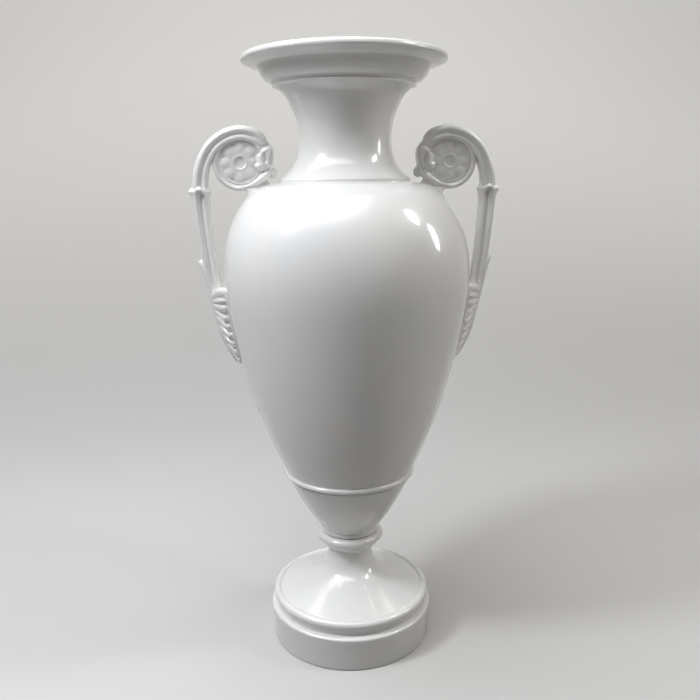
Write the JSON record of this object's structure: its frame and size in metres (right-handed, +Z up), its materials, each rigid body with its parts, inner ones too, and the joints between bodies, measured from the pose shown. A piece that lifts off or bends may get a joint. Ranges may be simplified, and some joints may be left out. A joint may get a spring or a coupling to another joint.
{
  "type": "amphora vase",
  "caption": "Tall footed amphora vase with a flared mouth, egg-shaped body and two volute handles on leaf roots.",
  "frame": {"origin": "centre of the ring that the plinth stands on", "axes": "+Z up along the vase's axis, X through the two handles, Y towards the plain front and back"},
  "size_m": [0.2556, 0.2038, 0.5],
  "materials": {
    "porcelain": "glossy clear glaze over white porcelain",
    "brass": "machined, dulled",
    "steel": "zinc-plated, stamped",
    "cork": "pressed cork sheet",
    "rubber": "matt cut sheet"
  },
  "bodies": {
    "root": {"neck_and_mouth": "porcelain", "body_shell": "porcelain", "lower_bowl": "porcelain", "foot": "porcelain", "plinth": "porcelain", "tie_rod": "brass", "upper_seal": "rubber", "upper_washer": "steel", "knop_gasket": "cork", "base_seal": "rubber", "base_washer": "steel", "hex_nut": "brass", "right_root_leaf": "porcelain", "right_stem": "porcelain", "right_sheath_leaf": "porcelain", "right_calyx_collar": "porcelain", "right_scroll_arch": "porcelain", "right_volute_disc": "porcelain", "right_rosette_front": "porcelain", "right_rosette_back": "porcelain", "right_curl_leaf": "porcelain", "right_curl_bead": "porcelain", "right_shoulder_strut": "porcelain", "left_root_leaf": "porcelain", "left_stem": "porcelain", "left_sheath_leaf": "porcelain", "left_calyx_collar": "porcelain", "left_scroll_arch": "porcelain", "left_volute_disc": "porcelain", "left_rosette_front": "porcelain", "left_rosette_back": "porcelain", "left_curl_leaf": "porcelain", "left_curl_bead": "porcelain", "left_shoulder_strut": "porcelain"}
  },
  "joints": []
}
